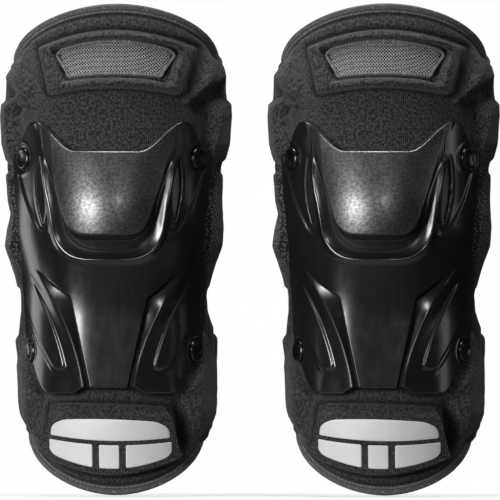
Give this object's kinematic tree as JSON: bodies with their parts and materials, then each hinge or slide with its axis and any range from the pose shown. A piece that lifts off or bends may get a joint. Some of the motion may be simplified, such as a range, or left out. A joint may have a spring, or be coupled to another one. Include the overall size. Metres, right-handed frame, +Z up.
{
  "type": "motorcycle knee guards",
  "caption": "Knee guards: padded panels that wrap knee and shin, each with a riveted hard shell, a thigh flap that flexes and straps that open.",
  "frame": {"origin": "on the left guard's leg axis, at the level of its lower edge", "axes": "+X towards the right guard, -Y the way the shells face, +Z up the leg"},
  "size_m": [0.3038, 0.1375, 0.3],
  "materials": {
    "shell_plastic": "satin black injection-moulded shell, grained on the dome",
    "impact_foam": "black EVA foam",
    "air_mesh": "grey-black air mesh",
    "panel_fabric": "black brushed knit over moulded foam",
    "lining_fabric": "black perforated lining",
    "stretch_fabric": "black ribbed stretch knit",
    "rivet_black": "gloss black",
    "rivet_steel": "plain washer",
    "reflective_film": "silver reflective film",
    "binding_tape": "black stitched binding",
    "webbing": "black woven webbing",
    "loop_pile": "black loop pile",
    "elastic": "black woven elastic",
    "hook_tape": "black hook tape"
  },
  "bodies": {
    "left_guard": {"left_shell": "shell_plastic", "left_impact_foam": "impact_foam", "left_slot_mesh": "air_mesh", "left_knee_panel": "panel_fabric", "left_knee_lining": "lining_fabric", "left_rivets": "rivet_black", "left_rivet_washers": "rivet_steel", "left_flex_panel": "stretch_fabric", "left_upper_side_pads": "panel_fabric", "left_knee_wings": "panel_fabric", "left_shin_side_pads": "panel_fabric", "left_shin_block": "panel_fabric", "left_reflector_band": "reflective_film", "left_reflector_panels": "reflective_film", "left_shin_hem": "binding_tape", "left_back_band": "stretch_fabric", "left_strap_anchors": "webbing", "left_loop_patches": "loop_pile"},
    "left_thigh": {"left_thigh_panel": "panel_fabric", "left_thigh_lining": "lining_fabric", "left_thigh_hem": "binding_tape", "left_thigh_ridge": "panel_fabric", "left_vent_piping": "binding_tape", "left_vent_mesh": "air_mesh", "left_thigh_side_pads": "panel_fabric"},
    "left_upper_strap": {"left_upper_strap": "elastic", "left_upper_hook_tab": "hook_tape"},
    "left_lower_strap": {"left_lower_strap": "elastic", "left_lower_hook_tab": "hook_tape"},
    "right_guard": {"right_shell": "shell_plastic", "right_impact_foam": "impact_foam", "right_slot_mesh": "air_mesh", "right_knee_panel": "panel_fabric", "right_knee_lining": "lining_fabric", "right_rivets": "rivet_black", "right_rivet_washers": "rivet_steel", "right_flex_panel": "stretch_fabric", "right_upper_side_pads": "panel_fabric", "right_knee_wings": "panel_fabric", "right_shin_side_pads": "panel_fabric", "right_shin_block": "panel_fabric", "right_reflector_band": "reflective_film", "right_reflector_panels": "reflective_film", "right_shin_hem": "binding_tape", "right_back_band": "stretch_fabric", "right_strap_anchors": "webbing", "right_loop_patches": "loop_pile"},
    "right_thigh": {"right_thigh_panel": "panel_fabric", "right_thigh_lining": "lining_fabric", "right_thigh_hem": "binding_tape", "right_thigh_ridge": "panel_fabric", "right_vent_piping": "binding_tape", "right_vent_mesh": "air_mesh", "right_thigh_side_pads": "panel_fabric"},
    "right_upper_strap": {"right_upper_strap": "elastic", "right_upper_hook_tab": "hook_tape"},
    "right_lower_strap": {"right_lower_strap": "elastic", "right_lower_hook_tab": "hook_tape"}
  },
  "joints": [
    {"name": "left_thigh_flex", "type": "hinge", "parent": "left_guard", "child": "left_thigh", "pos_m": [0, -0.04, 0.238], "axis": [-1, 0, 0], "range_deg": [-5, 25], "stiffness_Nm_per_rad": 0.3, "deforming": ["left_flex_panel"]},
    {"name": "left_upper_strap_open", "type": "hinge", "parent": "left_guard", "child": "left_upper_strap", "pos_m": [-0.05745, 0.02045, 0.214], "axis": [0, 0, 1], "range_deg": [0, 100]},
    {"name": "left_lower_strap_open", "type": "hinge", "parent": "left_guard", "child": "left_lower_strap", "pos_m": [-0.05029, 0.02266, 0.08], "axis": [0, 0, 1], "range_deg": [0, 100]},
    {"name": "right_guard_apart", "type": "slide", "parent": "left_guard", "child": "right_guard", "axis": [1, 0, 0], "range_m": [0, 0.25]},
    {"name": "right_thigh_flex", "type": "hinge", "parent": "right_guard", "child": "right_thigh", "pos_m": [0.1644, -0.04, 0.238], "axis": [-1, 0, 0], "range_deg": [-5, 25], "stiffness_Nm_per_rad": 0.3, "deforming": ["right_flex_panel"]},
    {"name": "right_upper_strap_open", "type": "hinge", "parent": "right_guard", "child": "right_upper_strap", "pos_m": [0.10694, 0.02045, 0.214], "axis": [0, 0, 1], "range_deg": [0, 100]},
    {"name": "right_lower_strap_open", "type": "hinge", "parent": "right_guard", "child": "right_lower_strap", "pos_m": [0.1141, 0.02266, 0.08], "axis": [0, 0, 1], "range_deg": [0, 100]}
  ]
}
